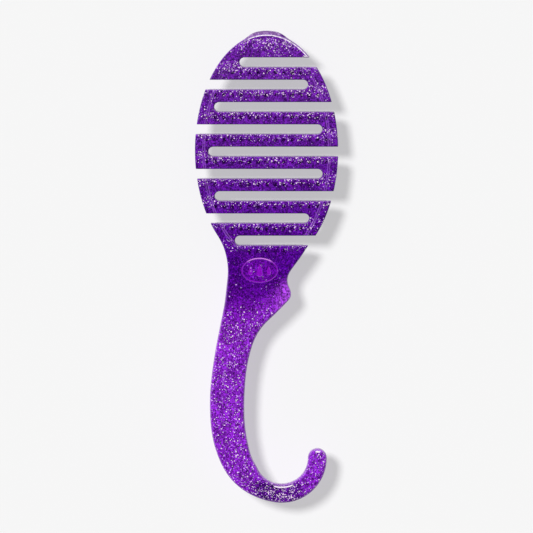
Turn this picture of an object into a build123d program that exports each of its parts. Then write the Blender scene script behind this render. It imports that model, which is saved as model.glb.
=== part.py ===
from build123d import *
import os
from math import sqrt, sin, cos, radians

os.makedirs("parts", exist_ok=True)

# Flexible vented shower brush with a hanging-hook handle.
# Frame: X across the head, +Y from the hook towards the tip of the head,
# +Z out of the smooth back.  The bristles point to -Z.  The origin is the
# centre of the hook's inner arc, half way through the moulding.
# Slots, bars and bristle rows are all counted from the tip, starting at 1.

# ------------------------------------------------------------- thickness
back_z = 3.0            # smooth back of the whole moulding
land_z = -0.5           # underside of the thin rim round the bristle bed
front_z = -3.0          # bristle side of the bed, the neck and the handle
top_round = 0.7         # rounding of every edge on the back
front_round = 0.5       # rounding of the edges on the bristle side

# ------------------------------------------------------------------ head
head_x, head_y = -7.72, 158.48      # centre of the head ellipse
head_half_width = 36.6
head_half_length = 59.8
bed_half_width = 34.45              # raised bristle bed
bed_half_length = 58.35
lip_half_width = 34.8               # bristle side of the tip
lip_shift = 1.6                     # its ellipse sits this far towards +Y

# ----------------------------------------------------------------- slots
slot_pitch = 11.415
slot_gap = 5.0          # height of each vent slot, full round at its inner end
slot_mid_y = 158.02     # middle slot
slot_run = 90           # cut length from the round end, well past the rim
web_half = 2.1          # half height of the flexing web beyond each slot
corner_round = 0.8      # free corners of the bars
# x of the round closed end of each slot; odd slots are open to the right
# (+X), even slots to the left (-X)
slot_end_x = (-21.5, 13.4, -34.4, 20.75, -37.4, 20.85, -34.2, 14.05, -23.9)
slot_count = len(slot_end_x)
slots = range(1, slot_count + 1)

# -------------------------------------------------------------- bristles
bristle_pitch = 4.367   # spacing along a row, one grid for every row
row_reach = (3, 5, 6, 7, 7, 7, 7, 6, 5, 3)  # bristles each side of the middle one
pivot_z = -1.45         # centre of each bristle's ball root
root_r = 0.92           # ball root
socket_r = 1.0          # ball seat in the bed
throat_r = 0.87         # narrowest part of the mouth, holds the ball in
mouth_r = 1.25          # flare at the surface of the bed
mouth_overcut = 0.2     # socket cutter stands out of the bed by this
shaft_root_r = 0.60
shaft_tip_r = 0.48
bead_r = 0.90           # round bead on the tip of each bristle
bead_z = -16.6          # centre of the bead

# ------------------------------------------------------- handle and hook
hook_inner_r = 13.5     # throat of the hanging hook
hook_outer_r = 23.2
hook_mid_r = (hook_inner_r + hook_outer_r) / 2
hook_tip_r = (hook_outer_r - hook_inner_r) / 2
arc_start = 205.0       # degrees, where the handle runs into the inner arc
handle_top_y = 74.35    # full width on the bristle side below this, at the thumb rest

# Left edge (x, y) of neck and handle, from the head's side down round the hook.
left_edge = [
    (-32.53, 114.52), (-30.1, 109.9), (-28.6, 105.18), (-27.75, 100.27),
    (-27.6, 95.35), (-28.2, 88.96), (-29.1, 81.1), (-30.3, 74.31),
    (-32.4, 63.89), (-34.3, 53.57), (-35.8, 43.25), (-36.7, 33.42),
    (-36.75, 23.59), (-35.9, 13.27), (-34.4, 6.19), (-32.4, 0.29),
    (-29.45, -5.95), (-24.77, -12.22), (-17.85, -17.75), (-13.18, -20.13),
    (-8.91, -21.68), (-4.66, -22.7), (-2.23, -23.07),
]
# Right edge (x, y), from the head down, with the notch and the rounded thumb rest.
right_edge = [
    (13.7, 110.0), (9.6, 103.71), (5.25, 97.71), (3.4, 94.37), (3.05, 91.32),
    (3.65, 88.67), (4.55, 86.5), (4.8, 84.44), (4.15, 82.38), (2.5, 80.41),
    (-3.4, 74.41), (-9.65, 68.12), (-13.45, 62.13), (-15.8, 55.64),
    (-17.65, 47.38), (-18.8, 36.86), (-19.15, 25.56), (-18.55, 14.74),
    (-17.05, 6.39), (-14.7, -1.18),
]
right_start_tangent = (-0.55, -0.83)
# Raised layer of the neck (x, y): down the left side, then up the right.
neck_edge = [
    (-31.0, 118.94), (-29.3, 113.05), (-27.4, 107.93), (-26.3, 102.72),
    (-25.9, 97.32), (-26.6, 90.44), (-28.0, 83.55), (-30.3, 74.31),
    (-3.6, 74.41), (1.1, 80.21), (2.6, 83.55), (2.1, 87.98), (1.5, 91.91),
    (2.5, 96.33), (6.7, 102.82), (11.1, 109.11), (14.4, 115.99),
]

# ---------------------------------------------------------------- emblem
emblem_x, emblem_y = -11.35, 97.2
emblem_half_width = 9.5
emblem_half_height = 6.45
emblem_line = 0.7
engrave = 0.4
drops = ((-4.6, 0.72), (0, 1.0), (4.6, 0.72))   # x from emblem centre, scale
drop_y = emblem_y - 0.3
# full-size drop, measured from its centre
drop_point = 4.3        # up to the point
drop_half_width = 1.7   # at the shoulders
drop_shoulder = 1.2     # down to the shoulders
drop_bottom = 3.3       # down to the round bottom

cut_margin = 10         # cutting boxes pass the ends of the moulding by this


def slot_y(k):
    """Middle of slot k."""
    return slot_mid_y + ((slot_count + 1) // 2 - k) * slot_pitch


def slot_side(k):
    """Open side of slot k: 1 for +X, -1 for -X."""
    return 1 if k % 2 else -1


tip_bar_y = slot_y(1) + slot_gap / 2    # lower edge of the bar at the tip


def row_points(i):
    """Bristle places along the middle of bar i."""
    y = slot_y(i) + slot_pitch / 2
    reach = row_reach[i - 1]
    return [(head_x + k * bristle_pitch, y, 0) for k in range(-reach, reach + 1)]


def on_arc(radius, degrees):
    return (radius * cos(radians(degrees)), radius * sin(radians(degrees)))


# -------------------------------------------------------------- outlines
def cut_slots():
    """Cut every vent slot out of the sketch being built."""
    for k in slots:
        side = slot_side(k)
        round_x = slot_end_x[k - 1] + side * slot_gap / 2
        with Locations((round_x, slot_y(k))):
            Circle(slot_gap / 2, mode=Mode.SUBTRACT)
        with Locations((round_x + side * slot_run / 2, slot_y(k))):
            Rectangle(slot_run, slot_gap, mode=Mode.SUBTRACT)


def full_outline():
    """The whole moulding seen from the back."""
    hook_low = (0, -hook_outer_r)
    outer_end = on_arc(hook_outer_r, 0)
    inner_end = on_arc(hook_inner_r, 0)
    inner_start = on_arc(hook_inner_r, arc_start)
    with BuildSketch() as outline:
        with Locations((head_x, head_y)):
            Ellipse(head_half_width, head_half_length)
        with BuildLine():
            Spline(*left_edge, hook_low)
            ThreePointArc(hook_low, on_arc(hook_outer_r, 315), outer_end)
            ThreePointArc(outer_end, (hook_mid_r, hook_tip_r), inner_end)
            ThreePointArc(inner_end, on_arc(hook_inner_r, 282), inner_start)
            Spline(
                *right_edge,
                inner_start,
                tangents=[right_start_tangent, on_arc(1, arc_start + 90)],
            )
            Line(right_edge[0], left_edge[0])
        make_face()
        cut_slots()
        # the outermost vertex on each slot side is a bar's free corner
        free = []
        for k in slots:
            side = slot_side(k)
            for y in (slot_y(k) + slot_gap / 2, slot_y(k) - slot_gap / 2):
                on_line = [v for v in outline.vertices() if abs(v.Y - y) < 1e-4]
                free.append(max(on_line, key=lambda v: side * v.X))
        fillet(free, corner_round)
    return outline.sketch


def handle_outline(outline):
    """The part of the outline below the thumb rest."""
    with BuildSketch() as handle:
        add(outline)
        with Locations((0, handle_top_y + 100)):
            Rectangle(200, 200, mode=Mode.SUBTRACT)
    return handle.sketch


def bed_outline():
    """Raised bristle bed and neck, without the bar at the tip."""
    with BuildSketch() as bed:
        with Locations((head_x, head_y)):
            Ellipse(bed_half_width, bed_half_length)
        with Locations((head_x, tip_bar_y + 50)):
            Rectangle(120, 100, mode=Mode.SUBTRACT)
        with BuildLine():
            Polyline(*neck_edge, close=True)
        make_face()
        cut_slots()
    return bed.sketch


def lip_outline():
    """Raised layer of the bar at the tip, a little longer than the back."""
    with BuildSketch() as lip:
        with Locations((head_x, head_y + lip_shift)):
            Ellipse(lip_half_width, head_half_length)
        with Locations((head_x, tip_bar_y - 100)):
            Rectangle(120, 200, mode=Mode.SUBTRACT)
    return lip.sketch


# ----------------------------------------------- one moulding, cut up later
def front_layer(shape, pick_edges=None):
    """Layer on the bristle side; pick_edges chooses the low edges to round."""
    with BuildPart() as layer:
        with BuildSketch(Plane.XY.offset(front_z)):
            add(shape)
        extrude(amount=land_z - front_z)
        if pick_edges:
            low_edges = layer.faces().sort_by(Axis.Z)[0].edges()
            fillet(pick_edges(low_edges), front_round)
    return layer.part


def moulding():
    outline = full_outline()
    bed = front_layer(bed_outline())
    # the straight cut edges, inside the moulding, stay sharp
    handle = front_layer(
        handle_outline(outline),
        lambda edges: [e for e in edges if e.geom_type != GeomType.LINE],
    )
    lip = front_layer(lip_outline(), lambda edges: edges.filter_by(GeomType.ELLIPSE))
    with BuildPart() as whole:
        with BuildSketch(Plane.XY.offset(land_z)):
            add(outline)
        extrude(amount=back_z - land_z)
        fillet(whole.faces().sort_by(Axis.Z)[-1].edges(), top_round)
        add(bed)
        add(handle)
        add(lip)
    return whole.part


# -------------------------------------------------- bristles and sockets
def make_socket():
    """Cutter for one blind socket, entering from the bristle side."""
    seat = sqrt(socket_r**2 - throat_r**2)
    top = (0, pivot_z + socket_r)
    throat = (throat_r, pivot_z - seat)
    low_z = front_z - mouth_overcut
    with BuildPart() as cutter:
        with BuildSketch(Plane.XZ):
            with BuildLine():
                Line((0, low_z), top)
                ThreePointArc(top, (socket_r, pivot_z), throat)
                Line(throat, (mouth_r, front_z))
                Line((mouth_r, front_z), (mouth_r, low_z))
                Line((mouth_r, low_z), (0, low_z))
            make_face()
        revolve(axis=Axis.Z)
    return cutter.part


def make_bristle():
    """One bristle: ball root, tapering shaft, round bead."""
    top = (0, pivot_z + root_r)
    shaft_root = (shaft_root_r, pivot_z - sqrt(root_r**2 - shaft_root_r**2))
    shaft_tip = (shaft_tip_r, bead_z + sqrt(bead_r**2 - shaft_tip_r**2))
    bottom = (0, bead_z - bead_r)
    with BuildPart() as one:
        with BuildSketch(Plane.XZ):
            with BuildLine():
                Line(bottom, top)
                ThreePointArc(top, (root_r, pivot_z), shaft_root)
                Line(shaft_root, shaft_tip)
                ThreePointArc(shaft_tip, (bead_r, bead_z), bottom)
            make_face()
        revolve(axis=Axis.Z)
    return one.part


blank = moulding()
socket = make_socket()
bristle = make_bristle()


# ---------------------------------------------------------------- pieces
def take_band(low, high):
    """Put the moulding between two y values into the part being built."""
    add(blank)
    with Locations((head_x, (low + high) / 2, 0)):
        Box(200, high - low, 20, mode=Mode.INTERSECT)


def cut_sockets(i):
    """Cut the sockets of row i out of the part being built."""
    with Locations(*row_points(i)):
        add(socket, mode=Mode.SUBTRACT)


def bristle_row(i):
    with BuildPart() as row:
        with Locations(*row_points(i)):
            add(bristle)
    return row.part


def bar(i):
    """Bar above slot i, between its webs."""
    if i > 1:
        high = slot_y(i - 1) - web_half
    else:
        high = head_y + head_half_length + cut_margin
    with BuildPart() as piece:
        take_band(slot_y(i) + web_half, high)
        cut_sockets(i)
    return piece.part


def web(k):
    """Flexing web beyond the closed end of slot k."""
    with BuildPart() as piece:
        take_band(slot_y(k) - web_half, slot_y(k) + web_half)
    return piece.part


def handle_frame():
    """Lowest bar, neck and hook handle, with the emblem engraved in the back."""
    with BuildPart() as frame:
        take_band(-hook_outer_r - cut_margin, slot_y(slot_count) - web_half)
        cut_sockets(slot_count + 1)
        # oval ring with three drops
        with BuildSketch(Plane.XY.offset(back_z)):
            with Locations((emblem_x, emblem_y)):
                Ellipse(emblem_half_width, emblem_half_height)
                Ellipse(
                    emblem_half_width - emblem_line,
                    emblem_half_height - emblem_line,
                    mode=Mode.SUBTRACT,
                )
            for offset_x, size in drops:
                x = emblem_x + offset_x
                shoulder_y = drop_y - drop_shoulder * size
                point = (x, drop_y + drop_point * size)
                right = (x + drop_half_width * size, shoulder_y)
                left = (x - drop_half_width * size, shoulder_y)
                with BuildLine():
                    Line(point, right)
                    ThreePointArc(right, (x, drop_y - drop_bottom * size), left)
                    Line(left, point)
                make_face()
        extrude(amount=-engrave, mode=Mode.SUBTRACT)
    return frame.part


def export_piece(part, name):
    part.label = name
    export_step(part, f"parts/{name}.step")


for i in range(1, len(row_reach) + 1):
    export_piece(bristle_row(i), f"bristle_row_{i:02d}")
for k in slots:
    export_piece(bar(k), f"bar_{k:02d}")
    export_piece(web(k), f"web_{k:02d}")
export_piece(handle_frame(), "handle_frame")
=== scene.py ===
"""A purple glitter brush: nine bars joined by webs in a zigzag, a neck and a hooked handle.

It lies flat with its back facing +Z and its bristles pointing to -Z. The tip of the head is
towards +Y, and the hook is centred on the origin. Left is -X and right is +X, as seen from
above. Lengths are in millimetres unless a comment says metres. Slots and bars are counted
from the tip; bar i lies above slot i, and row 10 of the bristles is on the handle frame.
"""
import math
from collections import namedtuple

import bmesh
import bpy
import numpy as np
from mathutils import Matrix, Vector
from mathutils.geometry import delaunay_2d_cdt


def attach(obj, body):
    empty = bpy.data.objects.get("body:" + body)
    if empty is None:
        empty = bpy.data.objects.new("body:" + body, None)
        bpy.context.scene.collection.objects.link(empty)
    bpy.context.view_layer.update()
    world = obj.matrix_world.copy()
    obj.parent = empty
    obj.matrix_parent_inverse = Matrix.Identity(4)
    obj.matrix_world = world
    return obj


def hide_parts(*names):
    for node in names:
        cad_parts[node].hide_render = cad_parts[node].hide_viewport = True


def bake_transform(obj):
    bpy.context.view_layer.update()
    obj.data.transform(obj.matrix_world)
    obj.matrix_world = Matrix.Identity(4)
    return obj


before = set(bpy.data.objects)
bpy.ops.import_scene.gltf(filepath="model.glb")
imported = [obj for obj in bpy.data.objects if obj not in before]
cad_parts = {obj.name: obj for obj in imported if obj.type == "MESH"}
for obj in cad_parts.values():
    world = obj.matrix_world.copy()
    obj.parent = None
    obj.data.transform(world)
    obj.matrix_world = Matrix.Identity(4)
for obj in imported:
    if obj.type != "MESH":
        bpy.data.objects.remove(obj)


def keep_size():
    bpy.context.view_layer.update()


keep_size()

# ---------------------------------------------------------------- dimensions
MM_PER_M = 1000
BACK_Z = 3.0
LAND_Z = -0.5  # the side wall steps inwards below this height
FRONT_Z = -3.0

# ellipse of the head
HEAD_X, HEAD_Y = -7.72, 158.48
HEAD_HALF_X, HEAD_HALF_Y = 36.6, 59.8

# slots across the head, and the webs that close one end of each
SLOT_PITCH = 11.415
SLOT_RADIUS = 5.0 / 2
SLOT_5_Y = 158.02
WEB_HALF = 2.1
WEB_REACH = math.sqrt(SLOT_RADIUS**2 - WEB_HALF * WEB_HALF)
WEB_ANGLE = math.degrees(math.asin(WEB_HALF / SLOT_RADIUS))
# slot: x of its closed end
SLOT_END_X = {
    1: -21.5, 2: 13.4, 3: -34.4, 4: 20.75, 5: -37.4, 6: 20.85, 7: -34.2, 8: 14.05, 9: -23.9,
}

# bristles; row: how many stand on each side of the middle one
BRISTLE_PITCH = 4.367
ROW_REACH = {1: 3, 2: 5, 3: 6, 4: 7, 5: 7, 6: 7, 7: 7, 8: 6, 9: 5, 10: 3}
BALL_Z, BALL_RADIUS = -1.45, 0.92
BEAD_Z, BEAD_RADIUS = -16.6, 0.9
ROOT_RADIUS, SHAFT_END_RADIUS = 0.60, 0.47

# hook, and the oval emblem on the neck
HOOK_INNER, HOOK_OUTER = 13.5, 23.2
HOOK_START = 205  # degrees round the hook where the right edge of the neck runs into it
EMBLEM_X, EMBLEM_Y = -11.35, 97.2
EMBLEM_HALF_X, EMBLEM_HALF_Y = 9.5, 6.45
EMBLEM_BAND = 0.8
EMBLEM_DEPTH = 0.4

# edges of the neck and handle, (x, y) from the head down to the hook
LEFT_EDGE = [
    (-32.53, 114.52), (-30.1, 109.9), (-28.6, 105.18), (-27.75, 100.27),
    (-27.6, 95.35), (-28.2, 88.96), (-29.1, 81.1), (-30.3, 74.31),
    (-32.4, 63.89), (-34.3, 53.57), (-35.8, 43.25), (-36.7, 33.42),
    (-36.75, 23.59), (-35.9, 13.27), (-34.4, 6.19), (-32.4, 0.29),
    (-29.45, -5.95), (-24.77, -12.22), (-17.85, -17.75), (-13.18, -20.13),
    (-8.91, -21.68), (-4.66, -22.7), (-2.23, -23.07), (0.0, -HOOK_OUTER),
]
RIGHT_EDGE = [
    (13.7, 110.0), (9.6, 103.71), (5.25, 97.71), (3.4, 94.37), (3.05, 91.32),
    (3.65, 88.67), (4.55, 86.5), (4.8, 84.44), (4.15, 82.38), (2.5, 80.41),
    (-3.4, 74.41), (-9.65, 68.12), (-13.45, 62.13), (-15.8, 55.64), (-17.65, 47.38),
    (-18.8, 36.86), (-19.15, 25.56), (-18.55, 14.74), (-17.05, 6.39), (-14.7, -1.18),
    (HOOK_INNER * math.cos(math.radians(HOOK_START)),
     HOOK_INNER * math.sin(math.radians(HOOK_START))),
]


def slot_y(slot):
    return SLOT_5_Y + (5 - slot) * SLOT_PITCH


def open_side(slot):
    """Side on which a slot runs out of the head: 1 is right, -1 is left."""
    return 1 if slot % 2 else -1


def slot_centre(slot):
    """Centre of the round closed end of a slot."""
    return SLOT_END_X[slot] + open_side(slot) * SLOT_RADIUS, slot_y(slot)


def row_y(row):
    return slot_y(row) + SLOT_PITCH / 2


def row_points(row):
    reach = ROW_REACH[row]
    return [(HEAD_X + k * BRISTLE_PITCH, row_y(row)) for k in range(-reach, reach + 1)]


def metres(x, y, z):
    return Vector((x / MM_PER_M, y / MM_PER_M, z / MM_PER_M))


# ------------------------------------------------------------- lines in plan
def spline(points, step, end_slopes=None):
    """Points along a cubic spline; the ends are free unless their slopes are given."""
    knots = np.array(points, float)
    chords = np.linalg.norm(np.diff(knots, axis=0), axis=1)
    n = len(knots)
    matrix, right = np.zeros((n, n)), np.zeros((n, 2))
    for i in range(1, n - 1):
        h0, h1 = chords[i - 1], chords[i]
        matrix[i, i - 1], matrix[i, i], matrix[i, i + 1] = h1, 2 * (h0 + h1), h0
        right[i] = 3 * (
            h1 * (knots[i] - knots[i - 1]) / h0 + h0 * (knots[i + 1] - knots[i]) / h1
        )
    if end_slopes is None:
        matrix[0, 0], matrix[0, 1] = 2, 1
        right[0] = 3 * (knots[1] - knots[0]) / chords[0]
        matrix[-1, -1], matrix[-1, -2] = 2, 1
        right[-1] = 3 * (knots[-1] - knots[-2]) / chords[-1]
    else:
        matrix[0, 0] = matrix[-1, -1] = 1
        right[0], right[-1] = end_slopes
    slopes = np.linalg.solve(matrix, right)
    line = []
    for i in range(n - 1):
        chord = chords[i]
        count = max(2, int(math.ceil(chord / step)))
        for j in range(count):
            s = j / count
            line.append(tuple(
                (2 * s**3 - 3 * s**2 + 1) * knots[i]
                + (s**3 - 2 * s**2 + s) * chord * slopes[i]
                + (-2 * s**3 + 3 * s**2) * knots[i + 1]
                + (s**3 - s**2) * chord * slopes[i + 1]
            ))
    line.append(tuple(knots[-1]))
    return line


def arc(cx, cy, radius, start, end, step=5.0):
    """Points on a circle between two angles, in degrees."""
    n = max(2, int(abs(end - start) / step))
    angles = [math.radians(start + (end - start) * j / n) for j in range(n + 1)]
    return [(cx + radius * math.cos(a), cy + radius * math.sin(a)) for a in angles]


def straight(p, q, step=2.0):
    n = max(1, int(math.dist(p, q) / step))
    return [(p[0] + (q[0] - p[0]) * j / n, p[1] + (q[1] - p[1]) * j / n) for j in range(n + 1)]


def ellipse(cx, cy, half_x, half_y, count):
    angles = [2 * math.pi * j / count for j in range(count)]
    return [(cx + half_x * math.cos(a), cy + half_y * math.sin(a)) for a in angles]


def shrunk(points, cx, cy, scale_x, scale_y):
    return [(cx + (x - cx) * scale_x, cy + (y - cy) * scale_y) for x, y in points]


def drop_outline(cx, cy, size):
    """A drop, point upwards, counter-clockwise."""
    bowl = arc(cx, cy - 1.25 * size, 1.75 * size, 205, 335, 130 / 14)
    tip = (cx, cy + 4.1 * size)

    def flank(start, swell, stations):
        return [
            (start[0] + (tip[0] - start[0]) * t + swell * size * math.sin(math.pi * t),
             start[1] + (tip[1] - start[1]) * t)
            for t in stations
        ]

    right = flank(bowl[-1], 0.42, (0.2, 0.4, 0.6, 0.8))
    left = flank(bowl[0], -0.42, (0.8, 0.6, 0.4, 0.2))
    return bowl + right + [tip] + left


left_line = spline(LEFT_EDGE, 0.7)
hook_tangent = math.radians(HOOK_START + 90)
right_line = spline(
    RIGHT_EDGE, 0.6,
    end_slopes=((-0.55, -0.83), (math.cos(hook_tangent), math.sin(hook_tangent))),
)
left_upper = np.array([p for p in left_line[::-1] if p[1] > 60])  # y rising, for interpolation


def side_x(side, y):
    """x of the outer edge at height y; the left one passes into the neck lower down."""
    t = (y - HEAD_Y) / HEAD_HALF_Y
    x = HEAD_X + side * HEAD_HALF_X * math.sqrt(max(0.0, 1 - t * t))
    if side < 0 and y < LEFT_EDGE[0][1]:
        x = min(x, float(np.interp(y, left_upper[:, 1], left_upper[:, 0])))
    return x


def side_point(side, y):
    return side_x(side, y), y


def side_curve(side, y0, y1, step=0.45):
    """Points on the outer edge from height y0 to y1, both ends included."""
    n = max(3, int(abs(y1 - y0) / step))
    t0, t1 = math.asin((y0 - HEAD_Y) / HEAD_HALF_Y), math.asin((y1 - HEAD_Y) / HEAD_HALF_Y)
    heights = [HEAD_Y + HEAD_HALF_Y * math.sin(t0 + (t1 - t0) * j / n) for j in range(n + 1)]
    heights[0], heights[-1] = y0, y1
    return [side_point(side, y) for y in heights]


# ------------------------------------------------------------------ outlines
CORNER_RADIUS = 0.45
CORNER_TRIM = 0.36  # most that a rounded corner takes off each edge
CORNER_STEPS = 5
TRIM_REACH = 4.2  # how far from a joint the offset points are kept from crossing it
NEARLY_STRAIGHT = 0.12  # sine of the turn below which the normals are averaged

# to_last and to_next are unit vectors from the tip along its two edges
Corner = namedtuple("Corner", "tip to_last to_next centre radius kind_in kind_out")
# a place where two unlike edges meet: its first and last point, inward normals and offsets
Joint = namedtuple("Joint", "first last tip normals offsets mitre")


def mitre(tip, normals, offsets):
    return tip + np.linalg.solve(np.array(normals), np.array(offsets))


class Outline:
    """A closed outline, counter-clockwise. kinds[i] is the edge from point i to the next:
    "out" is the outer edge, "slot" a slot wall, and "cut" where a web meets its neighbour."""

    def __init__(self, slot_centres):
        self.points, self.kinds, self.sharp = [], [], []
        self.slot_centres = slot_centres

    def add(self, points, kind, corner=False):
        """Appends a run of edges of one kind; the run starts at the last point added."""
        if self.points and math.dist(self.points[-1], points[0]) < 1e-6:
            points = points[1:]
            self.kinds[-1] = kind
        self.points += points
        self.kinds += [kind] * len(points)
        self.sharp += [False] * len(points)
        if corner:
            self.sharp[-1] = True

    def close(self):
        """Joins the ends and rounds the sharp corners."""
        if math.dist(self.points[-1], self.points[0]) < 1e-6:
            self.points.pop()
            self.kinds.pop()
            self.sharp[0] = self.sharp.pop() or self.sharp[0]
        points, kinds = [], []
        self.corners = []  # (corner, direction from its centre), or None
        for i, point in enumerate(self.points):
            if not self.sharp[i]:
                points.append(point)
                kinds.append(self.kinds[i])
                self.corners.append(None)
                continue
            corner = self.corner_at(i)
            start = corner.tip + corner.to_last * self.trim - corner.centre
            end = corner.tip + corner.to_next * self.trim - corner.centre
            for j in range(CORNER_STEPS + 1):
                spoke = start * (1 - j / CORNER_STEPS) + end * (j / CORNER_STEPS)
                spoke = spoke / np.linalg.norm(spoke)
                points.append(tuple(corner.centre + spoke * corner.radius))
                kinds.append(corner.kind_in if j < CORNER_STEPS else corner.kind_out)
                self.corners.append((corner, spoke))
        self.points, self.kinds = points, kinds
        return self

    def corner_at(self, i):
        tip = np.array(self.points[i])
        u = np.array(self.points[i - 1]) - tip
        v = np.array(self.points[(i + 1) % len(self.points)]) - tip
        u, v = u / np.linalg.norm(u), v / np.linalg.norm(v)
        half = math.acos(max(-1, min(1, float(u @ v)))) / 2
        self.trim = min(CORNER_RADIUS / math.tan(half), CORNER_TRIM)
        radius = self.trim * math.tan(half)
        centre = tip + (u + v) / np.linalg.norm(u + v) * radius / math.sin(half)
        return Corner(tip, u, v, centre, radius, self.kinds[i - 1], self.kinds[i])

    def ring(self, inset, crisp=False):
        """Every point moved inwards by inset(kind, point), mitred where edges meet."""
        n = len(self.points)
        points = np.array(self.points, float)
        moved, joints = [], []
        i = 0
        while i < n:
            if self.corners[i] is None:
                point, joint = self.move_point(points, i, inset)
                moved.append(point)
                if joint:
                    joints.append(joint)
                i += 1
                continue
            corner = self.corners[i][0]
            u, v = corner.to_last, corner.to_next
            normals = np.array((u[1], -u[0])), np.array((-v[1], v[0]))
            d0, d1 = inset(corner.kind_in, corner.tip), inset(corner.kind_out, corner.tip)
            meet = mitre(corner.tip, normals, (d0, d1))
            round_fits = max(abs(d0), abs(d1)) < corner.radius and abs(d0 - d1) < 1e-9
            first = i
            while i < n and self.corners[i] is not None and self.corners[i][0] is corner:
                spoke = self.corners[i][1]
                soft = round_fits and not crisp
                moved.append(corner.centre + spoke * (corner.radius - d0) if soft else meet)
                i += 1
            joints.append(Joint(first, i - 1, corner.tip, normals, (d0, d1), meet))
        for joint in joints:
            self.tidy_joint(points, moved, joint)
        return moved

    def move_point(self, points, i, inset):
        """The moved place of a plain point, and a joint if a cut begins or ends there."""
        point = points[i]
        e0, e1 = point - points[i - 1], points[(i + 1) % len(points)] - point
        e0, e1 = e0 / np.linalg.norm(e0), e1 / np.linalg.norm(e1)
        k0, k1 = self.kinds[i - 1], self.kinds[i]
        d0, d1 = inset(k0, point), inset(k1, point)
        n0, n1 = np.array((-e0[1], e0[0])), np.array((-e1[1], e1[0]))
        at_cut = (k0 == "cut") != (k1 == "cut")
        if at_cut and "slot" in (k0, k1):
            # the wall round the closed end of a slot stays concentric with it
            cx = min(self.slot_centres, key=lambda centre: math.dist(centre, point))[0]
            d = d0 if k0 == "slot" else d1
            reach = math.sqrt((SLOT_RADIUS + d) ** 2 - WEB_HALF**2)
            meet = np.array((cx + math.copysign(reach, point[0] - cx), point[1]))
        elif abs(e0[0] * e1[1] - e0[1] * e1[0]) < NEARLY_STRAIGHT:
            mean = n0 + n1
            mean = mean / np.linalg.norm(mean)
            meet = point + mean * (d0 + d1) / 2 / max(0.3, float(mean @ n0))
        else:
            meet = mitre(point, (n0, n1), (d0, d1))
        return meet, Joint(i, i, point, (n0, n1), (d0, d1), meet) if at_cut else None

    def tidy_joint(self, points, moved, joint):
        """Gathers at the mitre the neighbours that would cross the other edge."""
        n = len(points)
        for start, step, edge in ((joint.first - 1, -1, 1), (joint.last + 1, 1, 0)):
            k = start % n
            while (self.corners[k] is None
                   and float(np.linalg.norm(points[k] - joint.tip)) < TRIM_REACH
                   and self.kinds[k - 1] == self.kinds[k]):
                depth = float((moved[k] - joint.tip) @ joint.normals[edge])
                if depth < joint.offsets[edge] - 1e-9:
                    moved[k] = joint.mitre
                k = (k + step) % n


def edge_y(slot, side, above):
    """Height where the edge above (1) or below (-1) a slot meets the given side."""
    return slot_y(slot) + above * (SLOT_RADIUS if side == open_side(slot) else WEB_HALF)


def add_slot_edge(outline, slot, above, start_x=None):
    """The edge above a slot, left to right (above=1), or below it, right to left (-1)."""
    cx, y = slot_centre(slot)
    wall_y, cut_y = y + above * SLOT_RADIUS, y + above * WEB_HALF
    turn = 0 if above > 0 else 180
    if open_side(slot) == above:
        outline.add([side_point(-above, cut_y), (cx - above * WEB_REACH, cut_y)], "cut")
        outline.add(arc(cx, y, SLOT_RADIUS, turn + 180 - WEB_ANGLE, turn + 90), "slot")
        outline.add(straight((cx, wall_y), side_point(above, wall_y)), "slot", corner=True)
    else:
        start = side_point(-above, wall_y) if start_x is None else (start_x, wall_y)
        outline.add(straight(start, (cx, wall_y)), "slot")
        outline.add(arc(cx, y, SLOT_RADIUS, turn + 90, turn + WEB_ANGLE), "slot")
        outline.add([(cx + above * WEB_REACH, cut_y), side_point(above, cut_y)], "cut")


def bar_outline(bar):
    slots = [bar] if bar == 1 else [bar, bar - 1]
    outline = Outline([slot_centre(slot) for slot in slots])
    add_slot_edge(outline, bar, above=1)
    left_y, right_y = edge_y(bar, -1, 1), edge_y(bar, 1, 1)
    if bar == 1:
        # the first bar runs right round the tip of the head
        t0 = math.asin((right_y - HEAD_Y) / HEAD_HALF_Y)
        t1 = math.pi - math.asin((left_y - HEAD_Y) / HEAD_HALF_Y)
        angles = [t0 + (t1 - t0) * j / 150 for j in range(151)]
        outline.add(
            [(HEAD_X + HEAD_HALF_X * math.cos(t), HEAD_Y + HEAD_HALF_Y * math.sin(t))
             for t in angles], "out",
        )
    else:
        above = bar - 1
        right = side_curve(1, right_y, edge_y(above, 1, -1))
        outline.add(right, "out", corner=open_side(above) == 1)
        add_slot_edge(outline, above, above=-1)
        left = side_curve(-1, edge_y(above, -1, -1), left_y)
        outline.add(left, "out", corner=open_side(bar) == -1)
    return outline.close()


def web_outline(slot):
    cx, y = slot_centre(slot)
    side = -open_side(slot)
    start_y, end_y = y - side * WEB_HALF, y + side * WEB_HALF
    meet_x = cx + side * WEB_REACH
    turn = 0 if side > 0 else 180
    outline = Outline([(cx, y)])
    outline.add(side_curve(side, start_y, end_y, 0.35), "out")
    outline.add([side_point(side, end_y), (meet_x, end_y)], "cut")
    outline.add(arc(cx, y, SLOT_RADIUS, turn + WEB_ANGLE, turn - WEB_ANGLE), "slot")
    outline.add([(meet_x, start_y), side_point(side, start_y)], "cut")
    return outline.close()


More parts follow.
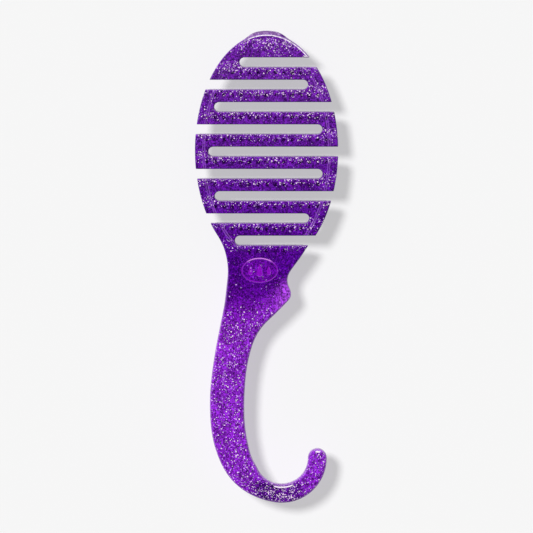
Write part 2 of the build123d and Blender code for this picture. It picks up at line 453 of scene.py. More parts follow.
def handle_outline():
    cut_y, wall_y = edge_y(9, -1, -1), edge_y(9, 1, -1)
    rising = right_line[::-1]
    top = rising[-40:]
    wall_x = float(np.interp(wall_y, [p[1] for p in top], [p[0] for p in top]))
    middle, half_width = (HOOK_INNER + HOOK_OUTER) / 2, (HOOK_OUTER - HOOK_INNER) / 2
    left = [side_point(-1, cut_y)] + [p for p in left_line if p[1] < cut_y - 0.2]
    right = [p for p in rising if p[1] < wall_y - 0.2] + [(wall_x, wall_y)]
    outline = Outline([slot_centre(9)])
    outline.add(left, "out")
    outline.add(arc(0, 0, HOOK_OUTER, 270, 360, 2.0), "out")
    outline.add(arc(middle, 0, half_width, 0, 180, 6), "out")
    outline.add(arc(0, 0, HOOK_INNER, 360, HOOK_START, 3.0), "out")
    outline.add(right, "out", corner=True)
    add_slot_edge(outline, 9, above=-1, start_x=wall_x)
    return outline.close()


# ---------------------------------------------------------- rounded sections
def ease(value, start, span):
    """0 at start and 1 at start + span, smooth between."""
    t = min(1.0, max(0.0, (value - start) / span))
    return t * t * (3 - 2 * t)


def top_radius(y):
    """Rounding of the back edges, larger on the handle."""
    return 0.75 + 0.85 * ease(y, start=106, span=-22)


def low_radius(y):
    """Rounding of the front edges, larger on the handle."""
    return 0.45 + 0.85 * ease(y, start=92, span=-16)


LEDGE = 2.15  # inward step of the outer wall on the head; it fades out down the neck
LEDGE_TIP_Y = 201.0  # above this height the step turns into the lip of the tip


def ledge(point):
    x, y = float(point[0]), float(point[1])
    if y <= LEDGE_TIP_Y:
        return LEDGE * ease(y, start=77, span=22)
    nx, ny = (x - HEAD_X) / HEAD_HALF_X**2, (y - HEAD_Y) / HEAD_HALF_Y**2
    ny = ny / math.hypot(nx, ny)
    # the lip follows how far the outer edge faces +Y, and stands out at the very tip
    lip = 1.6 * ease(ny, start=0.9, span=-0.3) - 1.3 * ease(ny, start=0.875, span=0.11)
    s = ease(y, start=LEDGE_TIP_Y, span=6.5)
    return LEDGE * (1 - s) + lip * s


def inset(radius, part=1.0, extra=0.0, stepped=False):
    """An inset for Outline.ring: part of the rounding radius and a margin; none at cuts."""
    def distance(kind, point):
        if kind == "cut":
            return 0.0
        step = ledge(point) if stepped and kind == "out" else 0.0
        return step + radius(float(point[1])) * part + extra
    return distance


class Mesh:
    """Points and faces of one piece. "rim" marks the place across the edge, "mark" the
    engraved emblem; both are read by the plastic."""

    def __init__(self, name):
        self.name = name
        self.points, self.faces, self.rim, self.mark = [], [], [], []

    def add(self, points, z, rim, mark=0.0):
        """Adds points at one height or a list of heights, and returns their indices."""
        first = len(self.points)
        heights = z if isinstance(z, list) else [z] * len(points)
        for point, height in zip(points, heights):
            self.points.append((float(point[0]), float(point[1]), float(height)))
            self.rim.append(rim)
            self.mark.append(mark)
        return list(range(first, len(self.points)))

    def skin(self, a, b):
        """Quads between two rings; a is the upper ring of a counter-clockwise outline."""
        for i in range(len(a)):
            j = (i + 1) % len(a)
            self.faces.append((a[i], b[i], b[j], a[j]))

    def skin_all(self, rings):
        for a, b in zip(rings, rings[1:]):
            self.skin(a, b)

    def fill(self, loops, up=True):
        """Flat face bounded by loops[0], with the other loops as holes."""
        indices = [i for loop in loops for i in loop]
        edges = []
        for loop in loops:
            first, n = len(edges), len(loop)
            edges += [(first + j, first + (j + 1) % n) for j in range(n)]
        flat = [Vector(self.points[i][:2]) for i in indices]
        places, _, faces, origins, _, _ = delaunay_2d_cdt(flat, edges, [], 0, 1e-6)
        triangles = np.array([f for f in faces if len(f) == 3])
        centres = np.array([(v.x, v.y) for v in places])[triangles].mean(axis=1)
        crossings = self.count_crossings(loops, centres)
        z = self.points[loops[0][0]][2]
        source = [
            indices[origin[0]] if len(origin) else self.add([place], z, 1.0)[0]
            for place, origin in zip(places, origins)
        ]
        for triangle, count in zip(triangles, crossings):
            if count % 2 == 0:
                continue
            a, b, c = (source[k] for k in triangle)
            p, q, r = (self.points[k] for k in (a, b, c))
            area = (q[0] - p[0]) * (r[1] - p[1]) - (q[1] - p[1]) * (r[0] - p[0])
            if abs(area) >= 1e-9:
                self.faces.append((a, b, c) if (area > 0) == up else (a, c, b))

    def count_crossings(self, loops, centres):
        """Edges to the right of each centre; an odd count lies inside the face."""
        count = np.zeros(len(centres), int)
        px, py = centres[:, 0][:, None], centres[:, 1][:, None]
        for loop in loops:
            x0, y0 = np.array([self.points[i][:2] for i in loop]).T
            x1, y1 = np.roll(x0, -1), np.roll(y0, -1)
            spans = (y0 > py) != (y1 > py)
            with np.errstate(divide="ignore", invalid="ignore"):
                cross_x = (x1 - x0) * (py - y0) / (y1 - y0) + x0
            count += (spans & (px < cross_x)).sum(axis=1)
        return count

    def build(self, material, sharp_angle):
        data = bpy.data.meshes.new(self.name)
        data.from_pydata([tuple(c / MM_PER_M for c in p) for p in self.points], [], self.faces)
        data.update()
        for name, values in (("rim", self.rim), ("mark", self.mark)):
            data.attributes.new(name, "FLOAT", "POINT").data.foreach_set("value", values)
        bm = bmesh.new()
        bm.from_mesh(data)
        bmesh.ops.remove_doubles(bm, verts=bm.verts, dist=2e-6)
        bmesh.ops.dissolve_degenerate(bm, dist=1e-7, edges=bm.edges)
        bmesh.ops.recalc_face_normals(bm, faces=bm.faces)
        bm.to_mesh(data)
        bm.free()
        data.polygons.foreach_set("use_smooth", [True] * len(data.polygons))
        data.set_sharp_from_angle(angle=math.radians(sharp_angle))
        data.materials.append(material)
        return link_object(self.name, data)


def link_object(name, data):
    ob = bpy.data.objects.new(name, data)
    bpy.context.scene.collection.objects.link(ob)
    return ob


def add_walls(mesh, outline):
    """The wall from the flat back, round both edges, to the flat front."""
    rings = []

    def level(distance, z, rim, crisp=False):
        heights = [z(float(p[1])) for p in outline.points] if callable(z) else z
        rings.append(mesh.add(outline.ring(distance, crisp), heights, rim))

    level(inset(top_radius, extra=0.9), BACK_Z, 1.0)
    level(inset(top_radius, extra=0.12), BACK_Z, 0.62)
    for angle in (90, 75, 60, 45, 30, 15, 0):
        part, rise = 1 - math.cos(math.radians(angle)), math.sin(math.radians(angle))
        level(inset(top_radius, part), lambda y: BACK_Z - top_radius(y) * (1 - rise),
              0.55 * angle / 90)
    level(inset(top_radius, part=0.0), -0.3, 0.0)
    level(inset(top_radius, part=0.0), LAND_Z, 0.0)
    level(inset(low_radius, part=0.0, stepped=True), LAND_Z - 0.12, 0.3, crisp=True)
    for angle in (0, 30, 60, 90):
        part, rise = 1 - math.cos(math.radians(angle)), math.sin(math.radians(angle))
        level(inset(low_radius, part, stepped=True),
              lambda y: FRONT_Z + low_radius(y) * (1 - rise), 0.5, crisp=True)
    level(inset(low_radius, extra=0.12, stepped=True), FRONT_Z, 0.8, crisp=True)
    mesh.skin_all(rings)
    return rings[0], rings[-1]


def add_emblem(mesh):
    """An engraved oval band round three engraved drops; returns its outer loop."""
    x, y = EMBLEM_X, EMBLEM_Y
    floor_z = BACK_Z - EMBLEM_DEPTH
    outer = ellipse(x, y, EMBLEM_HALF_X, EMBLEM_HALF_Y, 72)
    inner = ellipse(x, y, EMBLEM_HALF_X - EMBLEM_BAND, EMBLEM_HALF_Y - EMBLEM_BAND, 72)
    outer_top = mesh.add(outer, BACK_Z, 1.0)
    outer_low = mesh.add(shrunk(outer, x, y, 0.985, 0.978), floor_z, 1.0, mark=1.0)
    inner_top = mesh.add(inner, BACK_Z, 1.0)
    inner_low = mesh.add(shrunk(inner, x, y, 1.017, 1.025), floor_z, 1.0, mark=1.0)
    mesh.skin(outer_top, outer_low)
    mesh.skin(inner_low, inner_top)
    mesh.fill([outer_low, inner_low])
    drops = []
    for offset, size in ((-4.7, 0.74), (0.0, 1.02), (4.7, 0.74)):
        drop = drop_outline(x + offset, y - 0.35, size)
        floor = shrunk(drop, x + offset, y - 0.6, 0.9, 0.93)
        top = mesh.add(drop, BACK_Z, 1.0)
        low = mesh.add(floor, floor_z, 1.0, mark=1.0)
        mesh.skin(top, low)
        mesh.fill([low])
        drops.append(top)
    mesh.fill([inner_top] + drops)
    return outer_top


# (radius, z) of a bristle socket, from its mouth in the front to its end
SOCKET = [
    (1.25, FRONT_Z), (1.2, FRONT_Z + 0.06), (0.87, BALL_Z - 0.49), (1.0, BALL_Z),
    (0.72, BALL_Z + 0.7),
]


def add_socket(mesh, x, y):
    """A blind hole for one bristle; returns its mouth."""
    rings = [mesh.add(ellipse(x, y, r, r, 18), z, 0.5) for r, z in SOCKET]
    for a, b in zip(rings, rings[1:]):
        mesh.skin(b, a)
    mesh.fill([rings[-1]], up=False)
    return rings[0]


def plastic_piece(name, outline, sockets=(), emblem=False):
    mesh = Mesh(f"{name}_skin")
    back, front = add_walls(mesh, outline)
    mesh.fill([back] + ([add_emblem(mesh)] if emblem else []))
    mouths = [add_socket(mesh, x, y) for x, y in sockets]
    mesh.fill([front] + mouths, up=False)
    ob = mesh.build(GLITTER, sharp_angle=32)
    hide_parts(name)
    return ob


def bristle_profile():
    """(radius, z) of a bristle: ball root, tapering shaft and bead."""
    def ball(radius, z, angles):
        turns = [math.radians(a) for a in angles]
        return [(radius * math.cos(a), z + radius * math.sin(a)) for a in turns]

    profile = ball(BALL_RADIUS, BALL_Z, (60, 30, 0, -25, -48))
    profile.append((ROOT_RADIUS, BALL_Z - 0.80))
    top_z, low_z = BALL_Z - 0.86, BEAD_Z + 0.86
    for j in range(1, 15):
        t = j / 14
        radius = ROOT_RADIUS + (SHAFT_END_RADIUS - ROOT_RADIUS) * t
        profile.append((radius, top_z + (low_z - top_z) * t))
    return profile + ball(BEAD_RADIUS, BEAD_Z, (52, 40, 25, 8, -10, -30, -50, -70))


def bristle_row(row):
    mesh = Mesh(f"bristle_row_{row:02d}_skin")
    n = 14
    for x, y in row_points(row):
        rings = [mesh.add(ellipse(x, y, r, r, n), z, 1.0) for r, z in bristle_profile()]
        mesh.skin_all(rings)
        top = mesh.add([(x, y)], BALL_Z + BALL_RADIUS, 1.0)[0]
        low = mesh.add([(x, y)], BEAD_Z - BEAD_RADIUS, 1.0)[0]
        for j in range(n):
            k = (j + 1) % n
            mesh.faces.append((top, rings[0][j], rings[0][k]))
            mesh.faces.append((low, rings[-1][k], rings[-1][j]))
    return mesh.build(NYLON, sharp_angle=60)


# -------------------------------------------------------------- shader tools
class Value:
    """A number inside a shader; arithmetic on it adds Math nodes."""

    def __init__(self, shader, socket):
        self.shader, self.socket = shader, socket

    def __add__(self, other):
        return self.shader.math("ADD", self, other)

    def __radd__(self, other):
        return self.shader.math("ADD", other, self)

    def __sub__(self, other):
        return self.shader.math("SUBTRACT", self, other)

    def __rsub__(self, other):
        return self.shader.math("SUBTRACT", other, self)

    def __mul__(self, other):
        return self.shader.math("MULTIPLY", self, other)

    def __truediv__(self, other):
        return self.shader.math("DIVIDE", self, other)

    def ramp(self, off, full):
        """0 at off and beyond, 1 at full and beyond, smooth between."""
        falling = off > full
        inputs = {
            "Value": self, "From Min": min(off, full), "From Max": max(off, full),
            "To Min": 1.0 if falling else 0.0, "To Max": 0.0 if falling else 1.0,
        }
        node = self.shader.node("MapRange", inputs, interpolation_type="SMOOTHSTEP")
        return Value(self.shader, node.outputs["Result"])

    def between(self, rise, fall):
        """Rises from 0 to 1 over one span and falls back to 0 over the other."""
        return self.ramp(off=rise[0], full=rise[1]) * self.ramp(off=fall[1], full=fall[0])


class Shader:
    """Adds nodes to a material or world; base is the colour being painted."""

    def __init__(self, owner):
        owner.use_nodes = True
        self.owner, self.tree = owner, owner.node_tree

    def feed(self, socket, value):
        if isinstance(value, Value):
            value = value.socket
        if isinstance(value, bpy.types.NodeSocket):
            self.tree.links.new(value, socket)
        else:
            socket.default_value = value

    def node(self, kind, inputs=None, **settings):
        node = self.tree.nodes.new("ShaderNode" + kind)
        for name, value in settings.items():
            setattr(node, name, value)
        for key, value in (inputs or {}).items():
            self.feed(node.inputs[key], value)
        return node

    def math(self, operation, *values):
        node = self.node("Math", dict(enumerate(values)), operation=operation)
        return Value(self, node.outputs[0])

    def mix(self, amount, first, second):
        # inputs 6 and 7 and output 2 are the colour sockets of a Mix node
        node = self.node("Mix", {0: amount, 6: first, 7: second}, data_type="RGBA")
        return node.outputs[2]

    def paint(self, amount, colour, strength=None):
        """Lays a colour over the base, thinned by strength if one is given."""
        self.base = self.mix(amount if strength is None else amount * strength,
                             self.base, colour)

    def scaled(self, vector, factor):
        node = self.node("VectorMath", {0: vector, "Scale": factor}, operation="SCALE")
        return node.outputs[0]

    def split(self, vector):
        return [Value(self, s) for s in self.node("SeparateXYZ", {0: vector}).outputs]

    def locate(self):
        """Gives the shader its place on the object, in millimetres."""
        self.position = self.scaled(self.node("TexCoord").outputs["Object"], float(MM_PER_M))
        self.x, self.y, self.z = self.split(self.position)

    def noise(self, scale, detail, vector=None):
        inputs = {"Vector": vector or self.position, "Scale": scale, "Detail": detail}
        return Value(self, self.node("TexNoise", inputs).outputs["Fac"])

    def attribute(self, name):
        return Value(self, self.node("Attribute", attribute_name=name).outputs["Fac"])

    def ellipse(self, x, y, half_x, half_y):
        """0 at the centre of an ellipse and 1 on it, growing with the square."""
        across = (self.x - x) / half_x
        along = (self.y - y) / half_y
        return across * across + along * along

    def length(self, across, along):
        return self.math("SQRT", across * across + along * along)

    def offset_in_pitch(self, value, origin, pitch):
        """Signed distance to the nearest of the stations spaced by pitch from origin."""
        turns = (value - origin) / pitch + 100.5  # whole turns keep it positive
        return (self.math("FRACT", turns) - 0.5) * pitch

    def principled(self, height, bump_strength, bump_distance, **values):
        """Finishes the material; values are inputs with underscores for spaces."""
        bump = self.node("Bump", {
            "Strength": bump_strength, "Distance": bump_distance, "Height": height,
        })
        inputs = {name.replace("_", " "): value for name, value in values.items()}
        inputs |= {"Base Color": self.base, "Normal": bump.outputs[0]}
        return self.finish(self.node("BsdfPrincipled", inputs))

    def finish(self, surface):
        self.node("OutputMaterial", {0: surface.outputs[0]})
        return self.owner


def material_shader(name):
    shader = Shader(bpy.data.materials.new(name))
    shader.tree.nodes.clear()
    return shader


def srgb(*channels):
    """Linear colour from sRGB channels of 0 to 255."""
    parts = [c / 255 for c in channels]
    return tuple(
        c / 12.92 if c <= 0.04045 else ((c + 0.055) / 1.055) ** 2.4 for c in parts
    ) + (1.0,)


# ----------------------------------------------------------- glitter plastic
BODY_START, BODY_END = -25.0, 225.0
# (y, sRGB) of the colour along the brush: the plastic's purple with painted light, paler on
# the handle where light comes through, and painted shade in the neck and head
BODY_AND_LIGHT_STOPS = [
    (-25, (104, 48, 148)), (-17, (108, 50, 154)), (-9, (126, 36, 184)),
    (10, (146, 45, 206)), (60, (140, 40, 199)), (74, (122, 24, 180)),
    (84, (86, 4, 144)), (98, (76, 0, 138)), (110, (64, 0, 128)),
    (130, (80, 0, 142)), (155, (86, 2, 146)), (178, (92, 6, 152)),
    (198, (102, 18, 160)), (213, (110, 34, 164)), (225, (110, 40, 162)),
]
TINT = {
    # painted light let through the neck
    "neck": srgb(136, 38, 196),
    # painted highlight on the thumb rest
    "thumb rest": srgb(184, 80, 238),
    "oval": srgb(124, 8, 188),
    # painted reflection on the rounded bottom of the hook
    "hook bottom reflection": srgb(56, 6, 104),
    "bristle root": srgb(20, 0, 46),
    "dark flake": srgb(24, 0, 58),
    "lavender flake": srgb(156, 30, 224),
    # painted glints on the glitter
    "bright flake": srgb(255, 226, 255),
    "bed line": srgb(168, 104, 214),
    # painted light and shade on the rounded edges
    "handle rim light": srgb(190, 128, 226),
    "upper rim light": srgb(186, 120, 222),
    "lower rim shade": srgb(58, 10, 104),
    "engraving": srgb(164, 18, 214),
    # painted light on the lip wall at the tip
    "lip left": srgb(132, 98, 150),
    "lip right": srgb(78, 26, 112),
    "lip cloud": srgb(184, 156, 198),
    # painted highlight along the edge of the back at the tip
    "tip highlight": srgb(252, 240, 252),
    "glint": srgb(252, 236, 252),
    "crown": srgb(232, 150, 240),
}
# (cells per mm, shift of the pattern, flake radius in cells, strength)
FLAKES = [(1.2, 0.0, 0.5, 1.0), (1.85, 31.7, 0.52, 1.0), (2.8, 77.1, 0.54, 0.9)]
# (distance in from the edge of the head, strength)
BED_LINES = [(4.0, 0.34), (5.0, 0.42)]
NEAR_BACK = {"off": 1.5, "full": 2.6}  # z range that keeps a detail near the back face


def paint_body_and_light(shader):
    """Colour by height along the brush: the plastic's purple with painted light on the handle
    and painted shade in the neck and head.
    """
    inputs = {"Value": shader.y, "From Min": BODY_START, "From Max": BODY_END}
    place = shader.node("MapRange", inputs)
    ramp = shader.node("ValToRGB", {0: place.outputs["Result"]})
    elements = ramp.color_ramp.elements
    elements.remove(elements[-1])
    for i, (y, colour) in enumerate(BODY_AND_LIGHT_STOPS):
        # each stop goes in at the middle and is then moved, which decides the stored order
        stop = elements[0] if i == 0 else elements.new(0.5)
        stop.position = (y - BODY_START) / (BODY_END - BODY_START)
        stop.color = srgb(*colour)
    shader.base = ramp.outputs[0]


def paint_neck(shader):
    """Painted light let through the lower right of the neck, along a slanting line, and a
    painted highlight on the thumb rest.
    """
    x, y = shader.x, shader.y
    slant = x * 0.78 + y * -0.62
    # painted light let through the lower right of the neck
    shader.paint(slant.ramp(off=-60.0, full=-54.0) * y.ramp(off=96.0, full=88.0), TINT["neck"])
    # painted highlight on the thumb rest
    across = x + (y - 84.0) * -0.25
    along = across.ramp(off=-4.5, full=2.6)
    thumb = along * y.between(rise=(72.0, 78.0), fall=(88.0, 94.0))
    shader.paint(thumb, TINT["thumb rest"], strength=0.85)


def paint_roots(shader, row_offset):
    """Dark root of each bristle inside the plastic."""
    across = shader.offset_in_pitch(shader.x, HEAD_X, BRISTLE_PITCH)
    along = row_offset
    wobble = shader.noise(scale=0.9, detail=2.0)
    distance = shader.length(across, along) + (wobble - 0.5) * 1.1
    bed = shader.ellipse(HEAD_X, HEAD_Y + 1.2, half_x=33.6, half_y=57.5)
    root = distance.ramp(off=1.3, full=0.6) * bed.ramp(off=1.0, full=0.93)
    root = root * shader.z.ramp(**NEAR_BACK)
    root = root * (1.0 - shader.y.ramp(off=198.0, full=206.0) * 0.65)  # fainter at the tip
    shader.paint(root, TINT["bristle root"], strength=0.9)


def shade_depth(shader):
    """Cloudy depth in the plastic, and a finer grain of flakes lying deeper."""
    fine = shader.noise(scale=1.15, detail=2.0).ramp(off=0.34, full=0.68)
    grain = 0.42 + fine * 1.02
    broad = shader.noise(scale=0.16, detail=2.0).ramp(off=0.34, full=0.66)
    cloud = 0.82 + broad * 0.36
    shader.base = shader.scaled(shader.base, grain * cloud)


def paint_flakes(shader, row_offset, hook_bottom_reflection):
    """Three sizes of glitter, whose bright flakes are painted glints; lift makes it show more
    or less from place to place.
    """
    y = shader.y
    # more in the upper half of each bar, where the wall of the slot lets light in
    on_head = y.ramp(off=100.0, full=112.0)
    lift = (row_offset.ramp(off=-1.6, full=1.8) - 0.45) * on_head
    # more bright flakes in the painted reflection on the bottom of the hook
    lift = lift + hook_bottom_reflection * 0.8
    lift = lift + y.ramp(off=196.0, full=212.0) * 0.1
    lift = lift - y.between(rise=(72.0, 80.0), fall=(104.0, 112.0)) * 0.55
    mid_head = y.between(rise=(104.0, 116.0), fall=(172.0, 188.0))
    for scale, shift, radius, strength in FLAKES:
        moved = shader.node("VectorMath", {
            0: shader.position, 1: (shift, shift * 0.7, -shift),
        }, operation="ADD")
        cells = shader.node("TexVoronoi", {"Vector": moved.outputs[0], "Scale": scale},
                            voronoi_dimensions="3D", feature="F1")
        # each cell draws three random numbers, one for each sort of flake
        draw = shader.node("SeparateColor", {0: cells.outputs["Color"]})
        red, green, blue = (Value(shader, s) for s in draw.outputs)
        distance = Value(shader, cells.outputs["Distance"])
        near = distance.ramp(off=radius, full=radius * 0.7)
        shader.paint(blue.ramp(off=0.79, full=0.83) * near, TINT["dark flake"],
                     strength=strength * 0.9)
        chance = green + lift * 0.09
        shader.paint(chance.ramp(off=0.85, full=0.89) * near, TINT["lavender flake"],
                     strength=strength * 0.62)
        # the bright flakes are painted glints of light on the glitter
        chance = red + lift * 0.085 - mid_head * 0.009
        shader.paint(chance.ramp(off=0.94, full=0.958) * near, TINT["bright flake"],
                     strength=strength)


def paint_bed_lines(shader):
    """Edge of the bristle bed, seen through the plastic as two fine lines."""
    y = shader.y
    for distance, strength in BED_LINES:
        squared = shader.ellipse(
            HEAD_X, HEAD_Y, half_x=HEAD_HALF_X - distance, half_y=HEAD_HALF_Y - distance)
        off_line = shader.math("ABSOLUTE", shader.math("SQRT", squared) - 1.0)
        on_head = y.ramp(off=206.0, full=190.0) * y.ramp(off=106.0, full=112.0)
        line = off_line.ramp(off=0.0095, full=0.004) * on_head
        shader.paint(line * shader.z.ramp(**NEAR_BACK), TINT["bed line"], strength=strength)


def paint_rims(shader):
    """Painted light on the edges of the handle and on edges facing the tip, painted shade on
    edges facing the hook.
    """
    normal = shader.node(
        "VectorTransform", {0: shader.node("NewGeometry").outputs["Normal"]},
        vector_type="NORMAL", convert_from="WORLD", convert_to="OBJECT")
    _, normal_y, normal_z = shader.split(normal.outputs[0])
    # painted light and shade on the rounded edges, by the way they face
    edge = normal_z.ramp(off=0.97, full=0.55)
    on_handle = 1.0 - shader.y.ramp(off=96.0, full=112.0)
    shader.paint(edge * on_handle, TINT["handle rim light"], strength=0.42)
    shader.paint(edge * normal_y.ramp(off=0.2, full=0.8), TINT["upper rim light"], strength=0.35)
    shader.paint(edge * normal_y.ramp(off=-0.3, full=-0.9), TINT["lower rim shade"], strength=0.4)


def paint_tip(shader):
    """Painted light on the lip at the very tip, darker to the right, and a painted highlight
    along the edge of the back.
    """
    x, y, z = shader.x, shader.y, shader.z
    # painted light on the lip wall, with paler patches
    lip = y.ramp(off=212.0, full=215.5) * z.ramp(off=0.2, full=-0.5)
    pale = shader.mix(x.ramp(off=-5.0, full=1.5), TINT["lip left"], TINT["lip right"])
    patches = shader.noise(scale=1.1, detail=2.0).ramp(off=0.5, full=0.62)
    pale = shader.mix(patches, pale, TINT["lip cloud"])
    shader.paint(lip, pale, strength=0.85)

    # painted highlight along the rounded edge of the back at the tip
    band = shader.attribute("rim").between(rise=(0.34, 0.44), fall=(0.62, 0.7))
    band = band * (y.ramp(off=199.0, full=203.0) * x.ramp(off=-21.0, full=-14.0))
    outward = shader.ellipse(HEAD_X, HEAD_Y, HEAD_HALF_X, HEAD_HALF_Y)
    band = band * outward.ramp(off=0.91, full=0.935)
    band = band * z.ramp(off=1.2, full=2.0)
    patches = shader.noise(scale=0.7, detail=2.0).ramp(off=0.38, full=0.52)
    band = band * (0.55 + patches * 0.45)  # uneven brightness along the edge
    shader.paint(band, TINT["tip highlight"])


def paint_glints(shader):
    """Light caught on the inner edge of the hook and on its tip."""
    x, y = shader.x, shader.y
    off_arc = shader.math("ABSOLUTE", shader.length(x, y) - 14.9)  # radius of the glint
    glint = off_arc.ramp(off=0.42, full=0.22)
    glint = glint * x.between(rise=(-4.4, -3.0), fall=(5.0, 6.4))
    glint = glint * y.ramp(off=-10.0, full=-12.0)
    spot = shader.ellipse(x=18.6, y=3.5, half_x=1.5, half_y=0.5).ramp(off=1.0, full=0.5)
    glint = shader.math("MAXIMUM", glint, spot) * shader.z.ramp(off=0.8, full=1.6)
    shader.paint(glint, TINT["glint"], strength=0.92)


def glitter_plastic():
    shader = material_shader("glitter_plastic")
    shader.locate()
    x, y = shader.x, shader.y
    paint_body_and_light(shader)
    paint_neck(shader)
    oval = shader.ellipse(EMBLEM_X, EMBLEM_Y, EMBLEM_HALF_X, EMBLEM_HALF_Y)
    shader.paint(oval.ramp(off=1.0, full=0.55), TINT["oval"], strength=0.5)
    # painted reflection on the rounded bottom of the hook: darker, with more bright flakes
    hook_bottom_reflection = y.ramp(off=-10.5, full=-14.0) * x.between(rise=(-19.0, -12.0),
                                                            fall=(7.0, 13.0))
    shader.paint(hook_bottom_reflection, TINT["hook bottom reflection"], strength=0.92)
    # the roots show a little above the middle of each row
    row_offset = shader.offset_in_pitch(y, row_y(10) + 0.45, SLOT_PITCH)
    paint_roots(shader, row_offset)
    shade_depth(shader)
    paint_flakes(shader, row_offset, hook_bottom_reflection)
    paint_bed_lines(shader)
    paint_rims(shader)
    # the engraved emblem catches more light, most of all at the top of its band
    mark = shader.attribute("mark")
    shader.paint(mark, TINT["engraving"], strength=0.5)
    paint_tip(shader)
    paint_glints(shader)
    top_of_band = (y.ramp(off=EMBLEM_Y + 3.9, full=EMBLEM_Y + 5.2)
                   * oval.ramp(off=0.8, full=0.86))
    shader.paint(mark * top_of_band, TINT["crown"], strength=0.75)
    return shader.principled(
        height=shader.noise(scale=1.3, detail=3.0), bump_strength=0.12, bump_distance=0.0002,
        Roughness=0.22, Specular_IOR_Level=0.22, Coat_Weight=0.3, Coat_Roughness=0.06)


# ------------------------------------------------------------- bristle nylon
NYLON_TINT = {
    "root": srgb(52, 16, 92),
    "shaft": srgb(84, 34, 134),
    "bead": srgb(112, 56, 162),
    "streak": srgb(120, 72, 170),
}


def bristle_nylon():
    shader = material_shader("bristle_nylon")
    shader.locate()
    shader.base = NYLON_TINT["root"]
    shader.paint(shader.z.ramp(off=-3.0, full=-15.0), NYLON_TINT["shaft"])
    shader.paint(shader.z.ramp(off=-15.4, full=-16.1), NYLON_TINT["bead"])
    # fine across the bristle and long along it
    stretched = shader.node("VectorMath", {0: shader.position, 1: (4.0, 4.0, 0.35)},
                            operation="MULTIPLY")
    streaks = shader.noise(scale=1.0, detail=4.0, vector=stretched.outputs[0])
    shader.paint(streaks.ramp(off=0.4, full=0.7), NYLON_TINT["streak"], strength=0.3)
    return shader.principled(
        height=streaks, bump_strength=0.15, bump_distance=0.0001, Roughness=0.34)


GLITTER = glitter_plastic()
NYLON = bristle_nylon()

# -------------------------------------------------------------------- pieces
handle = plastic_piece("handle_frame", handle_outline(), row_points(10), emblem=True)
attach(handle, "grip")

for i in range(1, 10):
    bar = plastic_piece(f"bar_{i:02d}", bar_outline(i), row_points(i))
    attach(bar, f"bar_{i:02d}")

    web = plastic_piece(f"web_{i:02d}", web_outline(i))
    y = slot_y(i)
    # roughly half-way from the closed end of the slot to the outer edge
    web_x = (SLOT_END_X[i] + (-33.0 if i % 2 else 20.0)) / 2
    metres(web_x, y - WEB_HALF, 0)
    metres(web_x, y + WEB_HALF, 0)
    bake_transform(web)

for i in range(1, 11):
    row = bristle_row(i)
    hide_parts(f"bristle_row_{i:02d}")
    metres(HEAD_X, row_y(i), -1.5)
    metres(HEAD_X, row_y(i), -9.5)
    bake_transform(row)


# --------------------------------------------------------- stage, in metres
FLOOR_HALF = 3.0
FLOOR_Z = (BEAD_Z - BEAD_RADIUS) / MM_PER_M - 0.00005  # just below the beads


def floor_paper():
    """Paper seen from above only, so the bristle side can be looked at too."""
    shader = material_shader("floor_paper")
    paper = shader.node("BsdfDiffuse", {"Color": (0.407, 0.407, 0.407, 1)})
    glow = shader.node("Emission", {"Color": (1, 1, 1, 1), "Strength": 0.484})
    lit = shader.node("AddShader", {0: paper.outputs[0], 1: glow.outputs[0]})
    clear = shader.node("BsdfTransparent")
    below = shader.node("NewGeometry").outputs["Backfacing"]
    return shader.finish(
        shader.node("MixShader", {0: below, 1: lit.outputs[0], 2: clear.outputs[0]}))


def make_floor():
    data = bpy.data.meshes.new("floor")
    signs = ((-1, -1), (1, -1), (1, 1), (-1, 1))
    corners = [(FLOOR_HALF * x, FLOOR_HALF * y, FLOOR_Z) for x, y in signs]
    data.from_pydata(corners, [], [(0, 1, 2, 3)])
    floor = link_object("floor", data)
    data.materials.append(floor_paper())


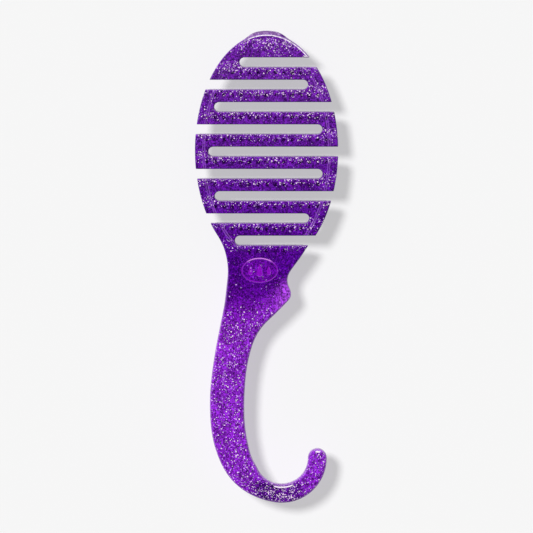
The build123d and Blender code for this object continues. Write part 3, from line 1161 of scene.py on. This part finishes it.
def make_world(scene):
    """Even white surroundings, dim as light, dimmer in gloss and bright to the camera."""
    world = bpy.data.worlds.new("studio")
    scene.world = world
    shader = Shader(world)
    world.cycles.sampling_method = "NONE"
    rays = shader.node("LightPath").outputs
    light = shader.node("MapRange", {
        "Value": rays["Is Glossy Ray"], "To Min": 0.14, "To Max": 0.03,
    })
    # inputs 2 and 3 are the number sockets of a Mix node; 3 is what the camera sees
    strength = shader.node("Mix", {
        0: rays["Is Camera Ray"], 2: light.outputs["Result"], 3: 0.92,
    })
    background = shader.tree.nodes["Background"]
    shader.feed(background.inputs["Color"], (1, 1, 1, 1))
    shader.feed(background.inputs["Strength"], strength.outputs[0])


def facing(direction):
    """Rotation that turns the back of a light towards direction."""
    return Vector(direction).to_track_quat("Z", "Y").to_euler()


def make_sun():
    sun = link_object("key", bpy.data.lights.new("key", "SUN"))
    sun.data.energy = 3.36
    sun.data.angle = math.radians(13)
    sun.rotation_euler = facing((-0.38, 0.38, 1.0))
    sun.visible_glossy = False


def make_softbox(name, offset, size, power):
    """A panel that is seen only in the gloss of the plastic."""
    lamp = bpy.data.lights.new(name, "AREA")
    lamp.shape = "RECTANGLE"
    lamp.size, lamp.size_y = size
    lamp.energy = power
    panel = link_object(name, lamp)
    panel.location = Vector((-0.008, 0.1, 0.0)) + Vector(offset)
    panel.rotation_euler = facing(offset)
    panel.visible_diffuse = False
    panel.visible_camera = False


def make_camera(scene):
    """Nearly overhead, leaning a little towards the tip."""
    tilt = math.radians(6)
    distance = 3.0
    view_width = 0.2729
    sensor_width = 36
    target = Vector((-7.76, 98.8, 0)) / MM_PER_M
    camera = link_object("camera", bpy.data.cameras.new("camera"))
    camera.location = target + Vector((0, math.sin(tilt), math.cos(tilt))) * distance
    camera.rotation_euler = (-tilt, 0, 0)
    camera.data.sensor_width = sensor_width
    camera.data.lens = sensor_width * distance / view_width
    camera.data.clip_end = 20
    scene.camera = camera


scene = bpy.context.scene
make_floor()
scene.view_settings.view_transform = "Standard"
make_world(scene)
make_sun()
make_softbox("panel_left", offset=(-1.1, 0.35, 0.75), size=(0.5, 1.2), power=3.5)
make_softbox("panel_top", offset=(0.1, 1.2, 0.7), size=(1.2, 0.4), power=4)
make_camera(scene)

keep_size()
